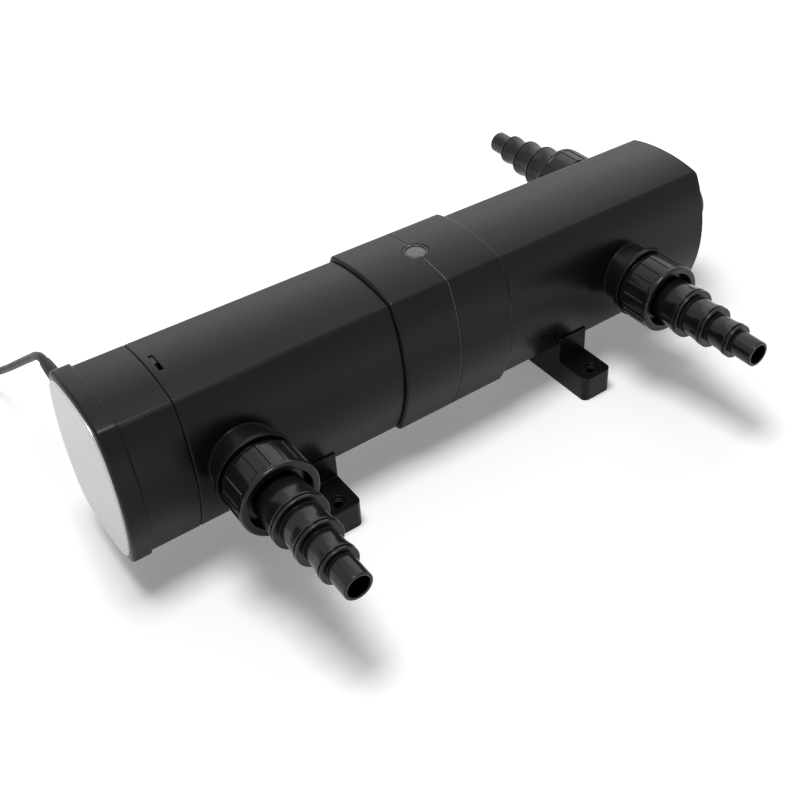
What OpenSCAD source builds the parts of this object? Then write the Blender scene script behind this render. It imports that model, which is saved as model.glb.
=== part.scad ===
// In-line UV-C pond clarifier: a flow-through tank with three hose ports,
// a twist-off lamp head, a quartz sleeve with its lamp, and two saddle feet.
// X runs along the tank from the lamp head to the drain end, -Y is the front.

/* [Tank] */
// Width of the tank across its bulged side walls
body_w = 102; // [84:1:124]
// Height of the tank across its bulged top and bottom walls
body_h = 119; // [98:1:144]
// Height of the bulge of each side wall
side_bulge = 13.7; // [10:0.1:17]
// Height of the bulge of the top and bottom walls
top_bulge = 4.8; // [3:0.1:6]
// Wall thickness of the tank and the lamp head
wall = 3.5; // [2.8:0.1:4.2]
// Length of the tank half next to the lamp head
tank_left_l = 209; // [174:1:251]
// Length of the tank half at the drain end
tank_right_l = 257.5; // [214:0.5:310]
// Length of the collar that bridges the two tank halves
collar_l = 98; // [80:1:118]
// Thickness of the collar
collar_t = 3; // [2:0.1:4]

/* [Lamp head] */
// Length of the lamp head from its end plate to the tank
head_l = 51; // [45:1:60]
// Length of the end cover
cover_l = 15; // [14:1:18]
// How far the end cover stands out from the tank wall
cover_step = 2; // [1.5:0.1:2.4]
// Thickness of the label plate
plate_t = 1.2; // [0.8:0.1:1.5]
// Width of the chamfer round the end cover
cover_chamfer = 2.6; // [1.5:0.1:3]
// Angle that the lamp head turns between locked and open
twist = 10; // [6:1:10]

/* [Lamp and quartz sleeve] */
// Outer diameter of the quartz sleeve
quartz_d = 48; // [46:0.5:50]
// Wall of the quartz sleeve
quartz_wall = 1.6; // [1.2:0.1:1.8]
// Diameter of each tube of the lamp
lamp_tube_d = 17.5; // [15:0.5:18]
// Distance between the axes of the two lamp tubes
lamp_tube_pitch = 21; // [20:0.5:22]

/* [Ports] */
// Distance of the inlet from the tank's lamp end
inlet_from_seam = 33; // [30:1:40]
// Distance of the front outlet from the drain end
front_outlet_from_end = 89; // [85:1:110]
// Distance of the back outlet from the drain end
back_outlet_from_end = 29; // [28:1:34]
// Outer diameter of the port boss
boss_d = 48; // [44:1:50]
// Diameter of the passage through the boss
passage_d = 30; // [26:1:31]
// Distance from the side wall to the port flange
boss_l = 15.5; // [13:0.5:19]
// Diameter of the port flange
flange_d = 58; // [54:1:62]
// Outer diameter of the union nut
nut_d = 56; // [54:1:60]
// Length of the union nut
nut_l = 26; // [22:1:31]
// Number of grip grooves round the union nut
nut_grooves = 18; // [12:1:20]
// Hose sizes of the stepped hose tail, largest first
hose_d = [38, 31.6, 25, 20];
// How far the ring at the end of each step stands out
hose_ring = 1.3; // [0.8:0.1:1.6]
// Length of each step of the hose tail
hose_step_l = 22; // [18:1:26]
// Length of the last, plain step
hose_tip_l = 19.5; // [16:0.5:23]
// Bore of the hose tail at its tip
hose_bore_d = 15.4; // [13:0.1:16]

/* [Feet] */
// Distance between the centres of the two feet
foot_pitch = 240; // [200:1:288]
// Width of a foot along the tank
foot_w = 28; // [24:1:34]
// Height of the screw-down tabs
tab_h = 22; // [18:1:26]
// How far a tab reaches out past the tank wall
tab_reach = 25; // [22:1:30]
// Height of the tank above the ground
ground_gap = 28.5; // [26:0.5:34]
// Diameter of the screw holes
screw_hole_d = 6.5; // [4:0.1:7]
// Distance between the screw holes across the tank
screw_pitch_y = 132; // [130:1:134]

/* [Drain end] */
// Diameter of the drain cap
drain_cap_d = 45; // [40:1:50]
// How far the drain cap stands out from the end wall
drain_reach = 34.5; // [30:0.5:40]
// Diameter of the drain passage
drain_bore_d = 20; // [16:1:24]

/* [Cord] */
// Diameter of the mains cord
cord_d = 6; // [5:0.5:7]

/* [Hidden] */
$fn = 72;
clear = 0.3;           // gap between parts that move past each other
seat = 0.1;            // gap between parts that are pushed or bonded together
edge = 0.5;            // chamfer on the edges that show
half_w = body_w / 2;
half_h = body_h / 2;
axis_h = half_h + ground_gap;
seam_x = head_l + tank_left_l;
body_l = seam_x + tank_right_l;
total_l = body_l + drain_reach;
end_wall_x = body_l - wall;

black = [0.12, 0.12, 0.125];
dark = [0.05, 0.05, 0.05];
front = -1;
back = 1;

// radii of the bulged walls, from half a chord and its bulge
function arc_r(chord, bulge) = (chord * chord + bulge * bulge) / (2 * bulge);
side_r = arc_r(half_h - top_bulge, side_bulge);
top_r = arc_r(half_w - side_bulge, top_bulge);
// radius at which the four creases of the outline are cut back
crease_cut = 0.6;
crease_r = norm([half_w - side_bulge, half_h - top_bulge]) - crease_cut;
// distance of the side wall's outer face from the axis at height z
function side_y(z, off = 0) = half_w - side_r + sqrt((side_r + off) * (side_r + off) - z * z);

// lamp head
spigot_bore_r = min(half_w, half_h) - wall - 1.5;
spigot_r = spigot_bore_r - clear;
spigot_l = 15;
spigot_t = 5;
seal_groove_l = 3;
seal_groove_x = head_l + spigot_l - 6;
head_seal_r = 1.3;
seal_groove_r = spigot_bore_r - 2 * (head_seal_r + seat);
collar_depth = 17;
bulkhead_t = 5;
bulkhead_x = head_l - clear - bulkhead_t;
cover_skin = 3;
plate_edge = 0.4;
plate_off = cover_step - cover_chamfer - plate_edge;
plate_corner_cut = 2.5;
plate_corner_r = crease_r + crease_cut + plate_off - plate_corner_cut;
head_x = cover_l + seat;
slot_w = 3.2;
slot_x = head_l + 6.6;
lug_l = 7.5;
lug_top = half_h - 1.5;
slot_l = lug_l + lug_top * sin(twist) + 2 * clear;
screw_y = half_w - 20;
screw_z = half_h - 13;
screw_head_r = 3.3;
screw_head_t = 1.8;
screw_shank_r = 1.7;
screw_l = 22;
post_r = 5;
ballast_l = 24;
ballast_w = 62;
ballast_h = 27;
ballast_gap = 2;
terminal_w = 30;
terminal_h = 12;
terminal_l = 14;
terminal_z = -38;

// quartz sleeve and its seat in the head
quartz_r = quartz_d / 2;
quartz_bore_r = quartz_r - quartz_wall;
hub_t = 4;
hub_bore_r = quartz_r + clear;
hub_end_x = head_l + 24;
sleeve_seal_l = 3;
sleeve_nut_x = head_l + spigot_l + seat;
sleeve_nut_r = hub_bore_r + hub_t + 5;
sleeve_nut_lip_x = hub_end_x + sleeve_seal_l + 2 * seat;
sleeve_nut_end_x = hub_end_x + sleeve_seal_l + 4.5;
quartz_x = bulkhead_x + bulkhead_t + seat;
quartz_end_x = end_wall_x - 22;
support_x = (body_l - front_outlet_from_end + body_l - back_outlet_from_end) / 2 - 4;
support_l = 8;
support_t = 3.5;

// lamp
socket_x = bulkhead_x - 4;
socket_l = 14;
lamp_base_x = socket_x + socket_l + seat;
lamp_base_l = 31;
lamp_base_w = 39;
lamp_base_h = 20;
lamp_tube_x = lamp_base_x + lamp_base_l + seat;
lamp_tube_r = lamp_tube_d / 2;
lamp_end_x = quartz_end_x - quartz_r - 2;
lamp_bridge_r = 4;
contact_l = 7;
contact_r = 1.2;

// ports, as distances outward from the tank's axis
inlet_x = head_l + inlet_from_seam;
front_outlet_x = body_l - front_outlet_from_end;
back_outlet_x = body_l - back_outlet_from_end;
boss_r = boss_d / 2;
passage_r = passage_d / 2;
boss_root_y = half_w - 6;
flange_y = half_w + boss_l;
flange_t = 4;
neck_r = flange_d / 2 - 4.5;
nut_gap = 4.5;
nut_y = flange_y + flange_t + nut_gap;
nut_end_y = nut_y + nut_l;
neck_end_y = nut_end_y - 10.5;
port_seal_t = 2;
nut_r = nut_d / 2;
nut_bore_r = neck_r + clear;
nut_lip_t = 4.2;
nut_lip_r = nut_bore_r - 2.2;
nut_chamfer = 1;
nut_rim_chamfer = 1.8;
groove_w = 5.6;
groove_depth = 0.7;
tail_y = neck_end_y + port_seal_t + 2 * seat;
tail_flange_t = nut_end_y - nut_lip_t - clear - tail_y;
tail_flange_r = nut_bore_r - clear;
tail_root_r = nut_lip_r - 5;
tail_wide_bore_r = 12;
first_ring_y = nut_end_y + hose_step_l + 2.5;
tip_y = first_ring_y + 2 * hose_step_l + hose_tip_l;
ring_w = 3.6;
tail_wide_end_y = first_ring_y + hose_step_l - 12;

// inspection lens
lens_r = 7.2;
lens_ring_r = 9.8;
lens_top = half_h + collar_t;
lens_sink = 0.6;
lens_seat_z = half_h + 0.1;

// feet
foot_x = [seam_x - foot_pitch / 2, seam_x + foot_pitch / 2];
foot_half_y = half_w + tab_reach;
saddle_half_y = half_w - 7.6;
horn_h = 22;
tab_corner_r = 5;
screw_recess_r = 6.2;
screw_recess_depth = 2.5;
pocket_wall = 4;
pocket_roof = 6;
pocket_l = saddle_half_y - 1.5 * pocket_wall;
pocket_y = pocket_l / 2 + pocket_wall / 2;

// drain end
drain_boss_r = drain_bore_d / 2 + 5;
drain_boss_l = 23;
drain_seal_t = 3;
drain_cap_x = body_l + 11;
drain_cap_r = drain_cap_d / 2;
drain_cap_round = 4;
drain_cap_bore_r = drain_boss_r + clear;
drain_cap_floor_x = body_l + drain_boss_l + drain_seal_t + clear;
drain_grooves = 20;

// cord, in the part's own frame; the coil lies on the ground beside the route's end
cord_r = cord_d / 2;
relief_at = [8, 40];
relief_y = side_y(relief_at[1], cover_step);
relief_r = 4;
relief_skirt_r = relief_r + 1.2;
relief_skirt_y = side_y(relief_at[1] - relief_skirt_r, cover_step) + seat;
relief_end_y = 71;
cord_route = [
    [-268, 71, 128], [-268, 77, 127.5], [-268, 84, 125], [-268, 92, 120.5], [-268, 101, 114.5],
    [-268.5, 111, 107], [-269, 125, 97], [-270, 140, 86], [-271, 155, 75], [-272, 172, 62.5],
    [-273, 190, 49.5], [-275, 207, 37.5], [-277, 222, 27.5], [-280, 237, 18], [-284, 251, 11],
    [-289, 264, 6.5], [-295, 277, 4], [-303, 291, 3], [-312, 304, 3.3], [-322, 316, 4]
];
coil_at = [-354, 284];
coil_r = 36;
coil_rows = 4;
coil_layers = 2;
coil_half_w = coil_rows * cord_r;
coil_h = coil_layers * cord_d;
tie_t = 1;
cord_end_route = [
    [-399, 284, 10], [-399, 274, 11], [-399, 264, 14], [-399, 255, 17], [-399, 246, 19]
];
tie_w = 5;
tie_angles = [100, 280];
plug_at = [-399, 246, 19];
plug_r = 19;
plug_l = 56;
plug_pin_r = 2.4;
plug_pin_pitch = 19;
plug_pin_l = 19;

// ---- frames and shapes that repeat ----

// puts the tank's axis at its height, with the origin on the ground under the middle
module place() translate([-total_l / 2, 0, axis_h]) children();

// round bar of length l whose ends have chamfers of c0 and c1
module chamfered_bar(r, l, c0, c1) rotate_extrude() polygon(concat(
    [[0, 0]],
    c0 > 0 ? [[r - c0, 0], [r, c0]] : [[r, 0]],
    c1 > 0 ? [[r, l - c1], [r - c1, l]] : [[r, l]],
    [[0, l]]
));

// solid of the tank's outline, grown by off, from x to x + l, with chamfered ends
module prism(x, l, off = 0, c0 = 0, c1 = 0)
    translate([x, 0, 0]) rotate([0, 90, 0]) intersection() {
        translate([0, side_r - half_w, 0]) chamfered_bar(side_r + off, l, c0, c1);
        translate([0, half_w - side_r, 0]) chamfered_bar(side_r + off, l, c0, c1);
        translate([top_r - half_h, 0, 0]) chamfered_bar(top_r + off, l, c0, c1);
        translate([half_h - top_r, 0, 0]) chamfered_bar(top_r + off, l, c0, c1);
        chamfered_bar(crease_r + off, l, c0, c1);
    }

// ring of the tank's outline between two offsets
module prism_ring(x, l, outer, inner, c0 = 0, c1 = 0)
    difference() {
        prism(x, l, outer, c0, c1);
        prism(x - 1, l + 2, inner);
    }

// round bar along the tank, and the tube between two radii
module bar_x(x, l, r) translate([x, 0, 0]) rotate([0, 90, 0]) cylinder(r = r, h = l);
module tube_x(x, l, outer, inner)
    difference() {
        bar_x(x, l, outer);
        bar_x(x - 1, l + 2, inner);
    }

// turns a shape drawn along +Z so that it points out of the tank's side
module port(x, side) translate([x, 0, 0]) rotate([-90 * side, 0, 0]) children();

// round bar, and ring, along a port's own axis
module port_bar(y, l, r) translate([0, 0, y]) cylinder(r = r, h = l);
module port_ring(y, l, outer, inner)
    difference() {
        port_bar(y, l, outer);
        port_bar(y - 1, l + 2, inner);
    }

// ring of round section, lying across the tank's axis
module o_ring_x(x, r, section_r)
    translate([x, 0, 0]) rotate([0, 90, 0]) rotate_extrude()
        translate([r, 0]) circle(r = section_r, $fn = 24);

// a copy in each of the four corners of the head
module at_corners()
    for (sy = [-1, 1], sz = [-1, 1]) translate([0, sy * screw_y, sz * screw_z]) children();

// tube of eight sides swept along a list of points
function unit(v) = v / norm(v);
function tangent(p, i) = unit(p[min(i + 1, len(p) - 1)] - p[max(i - 1, 0)]);
function side_of(t) = unit(cross(t, [0, 0, 1]));
function ring_at(p, i, r, n) =
    let (t = tangent(p, i), a = side_of(t), b = cross(a, t))
    [for (k = [0:n - 1]) p[i] + r * (cos(360 * k / n) * a + sin(360 * k / n) * b)];
module swept_tube(p, r, n = 8) {
    rings = len(p);
    polyhedron(
        points = [for (i = [0:rings - 1]) each ring_at(p, i, r, n)],
        faces = concat(
            [[for (k = [0:n - 1]) k]],
            [[for (k = [0:n - 1]) (rings - 1) * n + n - 1 - k]],
            [for (i = [0:rings - 2], k = [0:n - 1])
                [i * n + k, (i + 1) * n + k, (i + 1) * n + (k + 1) % n, i * n + (k + 1) % n]]
        )
    );
}

// ---- tank ----

// boss, flange and threaded neck of one port
module port_boss() {
    port_bar(boss_root_y, flange_y - boss_root_y, boss_r);
    port_bar(flange_y, flange_t, flange_d / 2);
    port_bar(flange_y + flange_t, neck_end_y - flange_y - flange_t, neck_r);
}

module port_passage() port_bar(boss_root_y - wall - 10, neck_end_y, passage_r);

module lens_hole(r) translate([seam_x, 0, half_h - wall - 4]) cylinder(r = r, h = wall + collar_t + 8);

module tank_left() color(black) place() difference() {
    union() {
        prism(head_l, tank_left_l - clear, 0, edge, 0);
        port(inlet_x, front) port_boss();
    }
    prism(head_l + collar_depth, tank_left_l, -wall);
    bar_x(head_l - 1, collar_depth + 2, spigot_bore_r);
    port(inlet_x, front) port_passage();
    translate([slot_x - slot_w / 2, -slot_l / 2, 0]) cube([slot_w, slot_l, half_h + 1]);
    lens_hole(lens_r + seat);
}

module tank_right() color(black) place() difference() {
    union() {
        prism(seam_x + clear, tank_right_l - clear, 0, 0, 2 * edge);
        port(front_outlet_x, front) port_boss();
        port(back_outlet_x, back) port_boss();
        bar_x(body_l - 1, drain_boss_l + 1, drain_boss_r);
    }
    prism(seam_x, tank_right_l - wall, -wall);
    port(front_outlet_x, front) port_passage();
    port(back_outlet_x, back) port_passage();
    bar_x(end_wall_x - 1, drain_boss_l + wall + 2, drain_bore_d / 2);
    lens_hole(lens_r + seat);
}

// half a collar from x on, with a chamfer at its free end
module collar_half(x, c0, c1) color(black) place() difference() {
    prism_ring(x, collar_l / 2 - clear, collar_t, seat, c0, c1);
    lens_hole(lens_ring_r + seat);
}
module collar_left() collar_half(seam_x - collar_l / 2, edge, 0);
module collar_right() collar_half(seam_x + clear, 0, edge);

module seam_gasket() color([0.45, 0.45, 0.46]) place() difference() {
    prism_ring(seam_x - clear + seat / 2, 2 * clear - seat, collar_t - 0.4, -wall);
    lens_hole(lens_ring_r + seat);
}

module inspection_lens() color([0.5, 0.52, 0.54]) place() translate([seam_x, 0, half_h - wall])
    cylinder(r = lens_r, h = lens_top - lens_sink - half_h + wall);

module lens_ring() color(dark) place() translate([seam_x, 0, lens_seat_z]) difference() {
    cylinder(r = lens_ring_r, h = lens_top - lens_seat_z);
    translate([0, 0, -1]) cylinder(r = lens_r + seat, h = collar_t + 2);
}

// spider that holds the far end of the quartz sleeve in the middle of the tank
module sleeve_support() color([0.75, 0.75, 0.73]) place() {
    hoop_r = quartz_r + clear + support_t;
    tube_x(support_x, support_l, hoop_r, quartz_r + clear);
    difference() {
        intersection() {
            prism(support_x, support_l, -wall - seat);
            for (a = [45, 135]) rotate([a, 0, 0]) translate([support_x, -2 * half_h, -support_t / 2])
                cube([support_l, 4 * half_h, support_t]);
        }
        bar_x(support_x - 1, support_l + 2, hoop_r - 1);
    }
}

// ---- feet ----

// bar across the tank whose two ends are the screw-down tabs
module tab_block() {
    half_x = foot_w / 2 - tab_corner_r;
    half_y = foot_half_y - tab_corner_r;
    translate([-foot_w / 2, -half_y, 0]) cube([foot_w, 2 * half_y, tab_h]);
    translate([-half_x, -foot_half_y, 0]) cube([2 * half_x, 2 * foot_half_y, tab_h]);
    for (sx = [-1, 1], sy = [-1, 1]) translate([sx * half_x, sy * half_y, 0])
        cylinder(r = tab_corner_r, h = tab_h);
}

module saddle_foot(x) color(black) place() difference() {
    translate([x, 0, -axis_h]) {
        tab_block();
        translate([-foot_w / 2, -saddle_half_y, 0]) cube([foot_w, 2 * saddle_half_y, tab_h + horn_h]);
    }
    prism(x - foot_w, 2 * foot_w, seat);
    for (sy = [-1, 1]) translate([x, sy * screw_pitch_y / 2, -axis_h]) {
        translate([0, 0, -1]) cylinder(d = screw_hole_d, h = tab_h + 2);
        translate([0, 0, tab_h - screw_recess_depth])
            cylinder(r = screw_recess_r, h = screw_recess_depth + 1);
    }
    // hollows in the underside keep the moulding's walls even
    for (sy = [-1, 1]) translate([x, sy * pocket_y, -axis_h - 1])
        translate([pocket_wall - foot_w / 2, -pocket_l / 2, 0])
            cube([foot_w - 2 * pocket_wall, pocket_l, ground_gap - pocket_roof + 1]);
}
module saddle_foot_left() saddle_foot(foot_x[0]);
module saddle_foot_right() saddle_foot(foot_x[1]);

// ---- ports ----

module port_seal(x, side) color(dark) place() port(x, side)
    port_ring(neck_end_y + seat, port_seal_t, tail_flange_r, passage_r);
module inlet_seal() port_seal(inlet_x, front);
module front_outlet_seal() port_seal(front_outlet_x, front);
module back_outlet_seal() port_seal(back_outlet_x, back);

// cup-shaped nut with grip grooves, whose lip holds the hose tail's flange to the neck
module union_nut(x, side) color(black) place() port(x, side) difference() {
    rotate_extrude() polygon([
        [nut_bore_r, nut_y], [nut_r - nut_chamfer, nut_y], [nut_r, nut_y + nut_chamfer],
        [nut_r, nut_end_y - nut_rim_chamfer], [nut_r - nut_rim_chamfer, nut_end_y],
        [nut_lip_r, nut_end_y], [nut_lip_r, nut_end_y - nut_lip_t], [nut_bore_r, nut_end_y - nut_lip_t]
    ]);
    for (k = [0:nut_grooves - 1]) rotate([0, 0, 360 * (k + 0.5) / nut_grooves])
        translate([nut_r - groove_depth, -groove_w / 2, nut_y - 1])
            cube([groove_depth + 1, groove_w, nut_l - nut_lip_t - 1]);
}
module inlet_union_nut() union_nut(inlet_x, front);
module front_outlet_union_nut() union_nut(front_outlet_x, front);
module back_outlet_union_nut() union_nut(back_outlet_x, back);

// distance of the outer end of step i of a hose tail
last_step = len(hose_d) - 1;
function step_end(i) = i < last_step ? first_ring_y + i * hose_step_l : tip_y;
// outline of step i: a slight taper that ends in a raised ring, with no ring on the last step
function step_points(i) =
    let (r = hose_d[i] / 2, start_y = i == 0 ? tail_y + tail_flange_t : step_end(i - 1), end_y = step_end(i))
    i < last_step
        ? [[i == 0 ? tail_root_r : r - 0.4, start_y], [r, end_y - ring_w - 1],
           [r + hose_ring, end_y - ring_w], [r + hose_ring, end_y - 1], [r + hose_ring - 1, end_y]]
        : [[r, start_y], [r, end_y - 1], [r - 1, end_y]];

module hose_tail(x, side) color(black) place() port(x, side)
    rotate_extrude() polygon(concat(
        [[tail_wide_bore_r, tail_y], [tail_flange_r, tail_y], [tail_flange_r, tail_y + tail_flange_t]],
        [for (i = [0:last_step]) each step_points(i)],
        [[hose_bore_d / 2, tip_y], [hose_bore_d / 2, tail_wide_end_y + 6]],
        [[tail_wide_bore_r, tail_wide_end_y]]
    ));
module inlet_hose_tail() hose_tail(inlet_x, front);
module front_outlet_hose_tail() hose_tail(front_outlet_x, front);
module back_outlet_hose_tail() hose_tail(back_outlet_x, back);

// ---- drain end ----

module drain_cap() color(black) place() difference() {
    rotate([0, 90, 0]) rotate_extrude() polygon(concat(
        [[drain_cap_bore_r, drain_cap_x], [drain_cap_r - 1, drain_cap_x], [drain_cap_r, drain_cap_x + 1]],
        [for (a = [0:15:90]) [drain_cap_r + drain_cap_round * (cos(a) - 1),
                              total_l + drain_cap_round * (sin(a) - 1)]],
        [[0, total_l], [0, drain_cap_floor_x], [drain_cap_bore_r, drain_cap_floor_x]]
    ));
    for (k = [0:drain_grooves - 1]) rotate([360 * k / drain_grooves, 0, 0])
        translate([drain_cap_x - 1, -1, drain_cap_r - 0.8])
            cube([total_l - drain_cap_round - drain_cap_x - 2, 2, 2]);
}

module drain_seal() color(dark) place()
    tube_x(body_l + drain_boss_l + seat, drain_seal_t, drain_boss_r, drain_bore_d / 2);

// ---- lamp head ----

module lamp_head_housing() color(black) place() difference() {
    union() {
        difference() {
            prism(head_x, head_l - clear - head_x, 0, 0, edge);
            prism(head_x - 1, bulkhead_x - head_x + 1, -wall);
        }
        at_corners() bar_x(head_x + 2, bulkhead_x - head_x, post_r);
        // spigot that enters the tank, and hub that holds the quartz sleeve
        tube_x(bulkhead_x, head_l + spigot_l - bulkhead_x, spigot_r, spigot_r - spigot_t);
        tube_x(bulkhead_x, hub_end_x - bulkhead_x, hub_bore_r + hub_t, hub_bore_r);
    }
    bar_x(bulkhead_x - 1, bulkhead_t + 2, quartz_bore_r);
    at_corners() bar_x(head_x, screw_l, screw_shank_r + seat);
    tube_x(seal_groove_x, seal_groove_l, spigot_r + 1, seal_groove_r);
}

module head_seal() color(dark) place()
    o_ring_x(seal_groove_x + seal_groove_l / 2, spigot_bore_r - seat - head_seal_r, head_seal_r);

// bayonet lug on the spigot, seen through the slot in the top of the tank
module lock_lug() color([0.3, 0.3, 0.31]) place() difference() {
    translate([slot_x - slot_w / 2 + clear, slot_l / 2 - clear - lug_l, 0])
        cube([slot_w - 2 * clear, lug_l, lug_top]);
    bar_x(slot_x - slot_w, 2 * slot_w, spigot_r + 0.02);
}

module end_cover() color(black) place() difference() {
    prism(plate_t + seat, cover_l - plate_t - seat, cover_step, cover_chamfer, edge / 2);
    prism(plate_t + seat + cover_skin, cover_l, cover_step - wall);
    at_corners() {
        bar_x(0, plate_t + screw_head_t + 2 * seat, screw_head_r + seat);
        bar_x(0, cover_l, screw_shank_r + seat);
    }
    translate([relief_at[0], 0, relief_at[1]]) rotate([-90, 0, 0])
        cylinder(r = relief_r + seat, h = body_w);
}

// plate that covers the screws, with its corners cut back from the creases
module label_plate() color([0.78, 0.79, 0.8]) place() intersection() {
    prism(0, plate_t, plate_off, plate_t / 2, 0);
    bar_x(-1, plate_t + 2, plate_corner_r);
}

module cover_screws() color([0.6, 0.6, 0.6]) place() at_corners() {
    bar_x(plate_t + seat, screw_head_t, screw_head_r);
    bar_x(plate_t + seat, screw_l, screw_shank_r);
}

module ballast() color([0.85, 0.85, 0.82]) place()
    translate([bulkhead_x - seat - ballast_l, -ballast_w / 2, lamp_base_h / 2 + ballast_gap])
        cube([ballast_l, ballast_w, ballast_h]);

// mains terminal with three wire entries
module terminal_block() color([0.9, 0.9, 0.88]) place()
    translate([bulkhead_x - seat - terminal_l, -terminal_w / 2, terminal_z]) difference() {
        cube([terminal_l, terminal_w, terminal_h]);
        for (k = [0:2]) translate([-1, terminal_w * (k + 0.5) / 3, terminal_h / 2])
            rotate([0, 90, 0]) cylinder(r = 2, h = 9, $fn = 24);
    }

// round bars in the places of the lamp's four contacts, in a row across its base
module contact_bars(x, l, r)
    for (k = [0:3]) translate([0, lamp_base_w * ((k + 0.5) / 4 - 0.5), 0]) bar_x(x, l, r, $fn = 24);

module lamp_socket() color([0.92, 0.92, 0.9]) place() difference() {
    translate([socket_x, -lamp_base_w / 2, -lamp_base_h / 2]) cube([socket_l, lamp_base_w, lamp_base_h]);
    contact_bars(lamp_base_x - contact_l - 1, contact_l + 2, contact_r + seat);
}

module lamp_contacts() color([0.75, 0.6, 0.3]) place()
    contact_bars(lamp_base_x - contact_l, contact_l, contact_r);

module lamp_base() color([0.95, 0.95, 0.93]) place() intersection() {
    bar_x(lamp_base_x, lamp_base_l, quartz_bore_r - clear);
    translate([lamp_base_x, -lamp_base_w / 2, -lamp_base_h / 2])
        cube([lamp_base_l, lamp_base_w, lamp_base_h]);
}

// two long tubes joined by a short bridge at the far end
module uvc_lamp() color([0.85, 0.9, 0.95, 0.5]) place() {
    for (s = [-1, 1]) translate([0, s * lamp_tube_pitch / 2, 0])
        bar_x(lamp_tube_x, lamp_end_x - lamp_tube_x, lamp_tube_r);
    translate([lamp_end_x - 12, -lamp_tube_pitch / 2, 0]) rotate([-90, 0, 0])
        cylinder(r = lamp_bridge_r, h = lamp_tube_pitch);
}

// glass tube with a domed far end
module quartz_sleeve() color([0.8, 0.9, 0.95, 0.3]) place() {
    dome_x = quartz_end_x - quartz_r;
    difference() {
        union() {
            bar_x(quartz_x, dome_x - quartz_x, quartz_r);
            translate([dome_x, 0, 0]) sphere(r = quartz_r);
        }
        bar_x(quartz_x - 1, dome_x - quartz_x + 1, quartz_bore_r);
        translate([dome_x, 0, 0]) sphere(r = quartz_bore_r);
    }
}

// threaded nut that squeezes the seal onto the quartz sleeve
module sleeve_nut() color([0.2, 0.2, 0.2]) place() difference() {
    bar_x(sleeve_nut_x, sleeve_nut_end_x - sleeve_nut_x, sleeve_nut_r);
    bar_x(sleeve_nut_x - 1, sleeve_nut_lip_x - sleeve_nut_x + 1, hub_bore_r + hub_t + seat);
    bar_x(sleeve_nut_lip_x - 1, sleeve_nut_end_x - sleeve_nut_lip_x + 2, hub_bore_r);
}

module sleeve_seal() color([0.6, 0.25, 0.2]) place()
    tube_x(hub_end_x + seat, sleeve_seal_l, hub_bore_r + hub_t, quartz_r + seat / 4);

// ---- cord ----

// tapered rubber sleeve where the cord leaves the back of the end cover
module strain_relief() color(dark) place()
    translate([relief_at[0], 0, relief_at[1]]) rotate([-90, 0, 0]) {
        shank_y = relief_y - 2 * wall;
        translate([0, 0, shank_y]) cylinder(r = relief_r, h = relief_skirt_y - shank_y);
        translate([0, 0, relief_skirt_y])
            cylinder(r1 = relief_skirt_r, r2 = cord_r + 0.7, h = relief_end_y - relief_skirt_y);
    }

module power_cord() color(dark) swept_tube(cord_route, cord_r);
module cord_end() color(dark) swept_tube(cord_end_route, cord_r);

module cord_coil() color(dark) translate([coil_at[0], coil_at[1], tie_t]) difference() {
    cylinder(r = coil_r + coil_half_w, h = coil_h);
    translate([0, 0, -1]) cylinder(r = coil_r - coil_half_w, h = coil_h + 2);
}

// two bands round the coil
module cord_ties() color(dark) translate([coil_at[0], coil_at[1], 0])
    for (a = tie_angles) rotate([0, 0, a]) {
        half = coil_half_w + clear;
        top = tie_t + coil_h + clear;
        difference() {
            translate([coil_r - half - tie_t, -tie_w / 2, 0]) cube([2 * (half + tie_t), tie_w, top + tie_t]);
            translate([coil_r - half, -tie_w, tie_t - seat]) cube([2 * half, 2 * tie_w, top - tie_t + seat]);
        }
    }

// earthed two-pin plug, lying along -Y
module plug_body() color(dark) translate(plug_at) rotate([90, 0, 0]) rotate_extrude() polygon([
    [0, 0], [cord_r + 0.7, 0], [6, 20], [11, 26], [17, 32], [plug_r, 38], [plug_r, plug_l], [0, plug_l]
]);

module plug_pins() color([0.8, 0.75, 0.6]) translate(plug_at) rotate([90, 0, 0])
    for (s = [-1, 1]) translate([s * plug_pin_pitch / 2, 0, plug_l])
        cylinder(r = plug_pin_r, h = plug_pin_l, $fn = 24);

tank_left();
tank_right();
collar_left();
collar_right();
seam_gasket();
inspection_lens();
lens_ring();
saddle_foot_left();
saddle_foot_right();
sleeve_support();
inlet_seal();
front_outlet_seal();
back_outlet_seal();
inlet_union_nut();
front_outlet_union_nut();
back_outlet_union_nut();
inlet_hose_tail();
front_outlet_hose_tail();
back_outlet_hose_tail();
drain_cap();
drain_seal();
end_cover();
label_plate();
cover_screws();
lamp_head_housing();
head_seal();
lock_lug();
ballast();
terminal_block();
lamp_socket();
lamp_contacts();
lamp_base();
uvc_lamp();
quartz_sleeve();
sleeve_nut();
sleeve_seal();
strain_relief();
power_cord();
cord_coil();
cord_ties();
cord_end();
plug_body();
plug_pins();
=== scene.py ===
"""An in-line UV-C pond clarifier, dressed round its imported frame.

Lengths are metres in the row frame: X runs along the tank from the lamp head to the drain end,
-Y is the side with two ports, and Z is up from the ground.
"""

import logging
import math
from dataclasses import dataclass
from enum import Enum
from typing import Any, Callable, Sequence

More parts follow.
